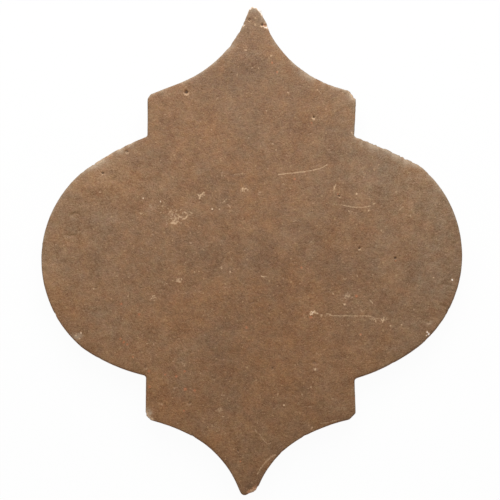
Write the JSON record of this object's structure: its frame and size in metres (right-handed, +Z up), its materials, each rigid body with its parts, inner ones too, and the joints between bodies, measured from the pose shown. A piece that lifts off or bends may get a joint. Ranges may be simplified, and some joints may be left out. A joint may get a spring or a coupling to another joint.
{
  "type": "arabesque floor tile",
  "caption": "Flat lantern-shaped fired clay floor tile with two points, two round bulges, a straight neck on each side and rounded worn edges.",
  "frame": {"origin": "middle of the underside's bounding rectangle, so the tile lies on z = 0", "axes": "+Z up out of the face, +Y along the tile towards the long upper point, +X across the two bulges"},
  "size_m": [0.2024, 0.235, 0.016],
  "materials": {
    "fired_clay": "matte, unglazed, stained brown"
  },
  "bodies": {
    "root": {"tile": "fired_clay"}
  },
  "joints": []
}
